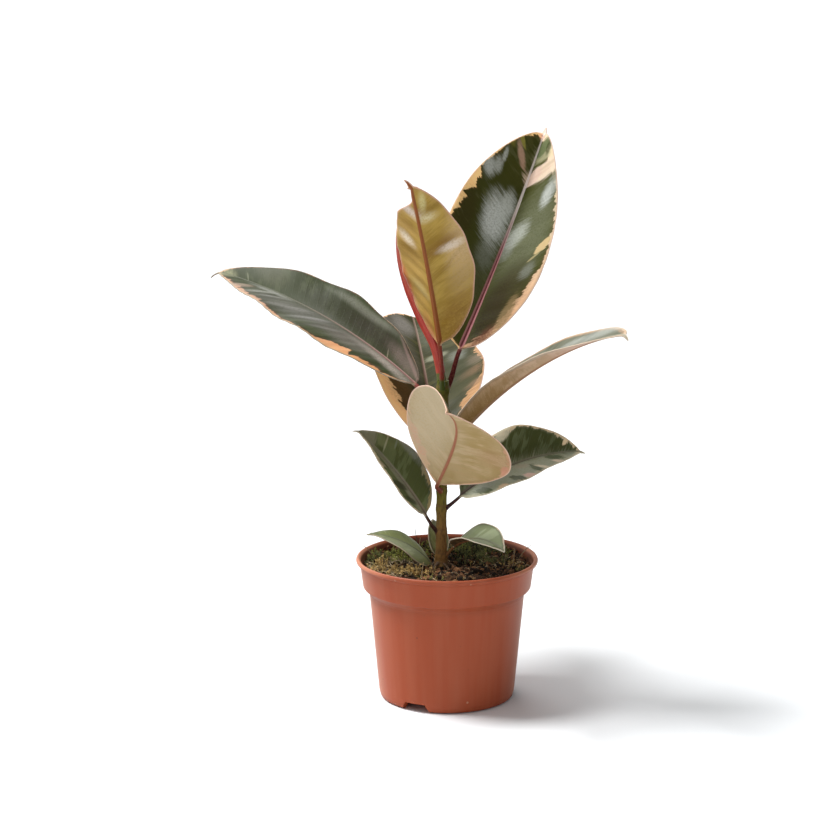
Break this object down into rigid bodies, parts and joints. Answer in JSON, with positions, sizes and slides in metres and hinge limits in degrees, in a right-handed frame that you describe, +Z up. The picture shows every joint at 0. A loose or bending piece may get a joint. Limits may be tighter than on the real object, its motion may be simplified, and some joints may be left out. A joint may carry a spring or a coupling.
{
  "type": "potted rubber plant",
  "caption": "Young variegated rubber plant with broad pointed leaves on one upright stem, in a round plastic nursery pot filled with peat soil; stands on a flat surface.",
  "frame": {"origin": "on the floor, at the centre of the small foot under the middle of the pot, on the pot's axis", "axes": "+Z up along the pot's axis; -Y towards the picture's viewer; +X to the viewer's right"},
  "size_m": [0.2716, 0.2534, 0.3678],
  "materials": {
    "pot_plastic": "satin",
    "soil": "matte",
    "stem_bark": "satin",
    "leaf_green": "satin",
    "leaf_young": "gloss",
    "leaf_under": "satin",
    "bud_red": "satin"
  },
  "bodies": {
    "root": {"pot": "pot_plastic", "soil": "soil", "stem": "stem_bark", "leaf_01": "leaf_young", "leaf_02": "leaf_green", "leaf_03": "leaf_green", "leaf_04": "leaf_green", "leaf_05": "leaf_green", "leaf_06": "leaf_under", "leaf_07": "leaf_green", "leaf_08": "leaf_green", "leaf_09": "leaf_green", "leaf_10": "leaf_green", "leaf_11": "leaf_green", "bud_sheath": "bud_red"}
  },
  "joints": []
}
